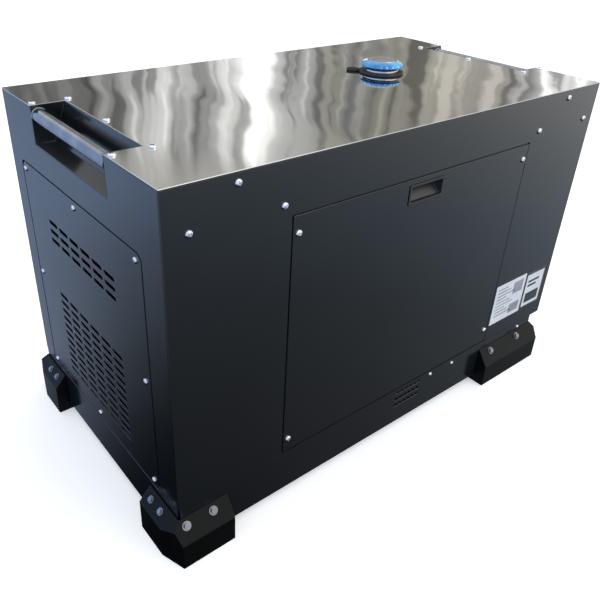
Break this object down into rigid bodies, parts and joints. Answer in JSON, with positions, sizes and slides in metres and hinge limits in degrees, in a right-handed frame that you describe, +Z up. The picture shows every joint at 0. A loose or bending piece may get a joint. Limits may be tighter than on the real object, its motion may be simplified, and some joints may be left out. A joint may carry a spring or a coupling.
{
  "type": "portable generator",
  "caption": "Enclosed engine-driven generator: steel canopy on folded feet with a lift-off service door, vented ends, carrying bars, fuel filler and control panel.",
  "frame": {"origin": "centre of the whole object's footprint, on the ground under the feet", "axes": "+X along the front to the right, the front with the service door faces -Y, +Z up"},
  "size_m": [1.132, 0.649, 0.748],
  "materials": {
    "gloss_anthracite": "gloss powder coat",
    "polished_steel": "mirror polished",
    "black_paint": "semi-gloss black",
    "zinc_steel": "zinc plated",
    "chrome": "chrome plated",
    "cast_aluminium": "as cast",
    "cast_iron": "as cast, painted",
    "rubber": "matt",
    "black_plastic": "fine grain",
    "blue_cap": "translucent blue, knurled",
    "tank_plastic": "blow moulded",
    "stop_red": "gloss",
    "socket_grey": "satin",
    "display_glass": "dark window"
  },
  "bodies": {
    "cabinet": {"base_tray": "gloss_anthracite", "foot_front_left": "black_paint", "foot_front_right": "black_paint", "foot_rear_left": "black_paint", "foot_rear_right": "black_paint", "top_cover": "polished_steel", "front_panel": "gloss_anthracite", "door_frame": "gloss_anthracite", "rear_panel": "gloss_anthracite", "left_end_panel": "gloss_anthracite", "right_end_panel": "gloss_anthracite", "left_vent_panel": "gloss_anthracite", "right_vent_panel": "gloss_anthracite", "left_handle_recess": "gloss_anthracite", "right_handle_recess": "gloss_anthracite", "left_handle_bar": "zinc_steel", "right_handle_bar": "zinc_steel", "fuel_tank": "tank_plastic", "tank_bar_left": "zinc_steel", "tank_bar_right": "zinc_steel", "filler_neck": "chrome", "cap_tether": "rubber", "engine_rail_front": "zinc_steel", "engine_rail_rear": "zinc_steel", "engine_mount_front_left": "rubber", "engine_mount_front_right": "rubber", "engine_mount_rear_left": "rubber", "engine_mount_rear_right": "rubber", "engine_cradle": "zinc_steel", "engine_block": "cast_aluminium", "cylinder_1": "cast_aluminium", "cylinder_2": "cast_aluminium", "cylinder_head_1": "cast_aluminium", "cylinder_head_2": "cast_aluminium", "fan_shroud": "black_plastic", "alternator_housing": "cast_aluminium", "exhaust_pipe": "zinc_steel", "muffler": "zinc_steel", "exhaust_outlet": "zinc_steel", "air_filter": "black_plastic", "battery": "black_plastic", "control_panel": "black_paint", "display": "display_glass", "key_switch": "chrome", "stop_base": "socket_grey", "breaker_body": "socket_grey", "socket_1": "socket_grey", "socket_2": "socket_grey"},
    "service_door": {"service_door": "gloss_anthracite", "door_pull_cup": "black_plastic"},
    "cap_seal": {"cap_seal": "rubber"},
    "fuel_cap": {"fuel_cap": "blue_cap"},
    "engine_shaft": {"crankshaft": "zinc_steel", "flywheel_fan": "cast_aluminium", "alternator_rotor": "cast_iron"},
    "key": {"key": "zinc_steel"},
    "stop_button": {"stop_button": "stop_red"},
    "breaker_toggle": {"breaker_toggle": "black_plastic"},
    "socket_lid_1": {"socket_lid_1": "socket_grey"},
    "socket_lid_2": {"socket_lid_2": "socket_grey"}
  },
  "joints": [
    {"name": "service_door_lift_off", "type": "slide", "parent": "cabinet", "child": "service_door", "axis": [0, -1, 0], "range_m": [0, 0.12]},
    {"name": "fuel_cap_lift", "type": "slide", "parent": "cabinet", "child": "cap_seal", "axis": [0, 0, 1], "range_m": [0, 0.06]},
    {"name": "fuel_cap_turn", "type": "hinge", "parent": "cap_seal", "child": "fuel_cap", "pos_m": [0.192, 0.0175, 0.72], "axis": [0, 0, 1], "range_deg": [0, 90]},
    {"name": "engine_spin", "type": "hinge", "parent": "cabinet", "child": "engine_shaft", "pos_m": [-0.24, 0.0035, 0.255], "axis": [1, 0, 0], "continuous": true},
    {"name": "key_turn", "type": "hinge", "parent": "cabinet", "child": "key", "pos_m": [0.32, 0.2942, 0.555], "axis": [0, -1, 0], "range_deg": [0, 90]},
    {"name": "stop_press", "type": "slide", "parent": "cabinet", "child": "stop_button", "axis": [0, -1, 0], "range_m": [0, 0.005], "stiffness_N_per_m": 400},
    {"name": "breaker_throw", "type": "hinge", "parent": "cabinet", "child": "breaker_toggle", "pos_m": [0.165, 0.3025, 0.54], "axis": [1, 0, 0], "range_deg": [0, 50]},
    {"name": "socket_lid_1_swing", "type": "hinge", "parent": "cabinet", "child": "socket_lid_1", "pos_m": [0.41, 0.3105, 0.446], "axis": [1, 0, 0], "range_deg": [0, 110], "stiffness_Nm_per_rad": 0.02},
    {"name": "socket_lid_2_swing", "type": "hinge", "parent": "cabinet", "child": "socket_lid_2", "pos_m": [0.225, 0.3105, 0.441], "axis": [1, 0, 0], "range_deg": [0, 110], "stiffness_Nm_per_rad": 0.03}
  ]
}
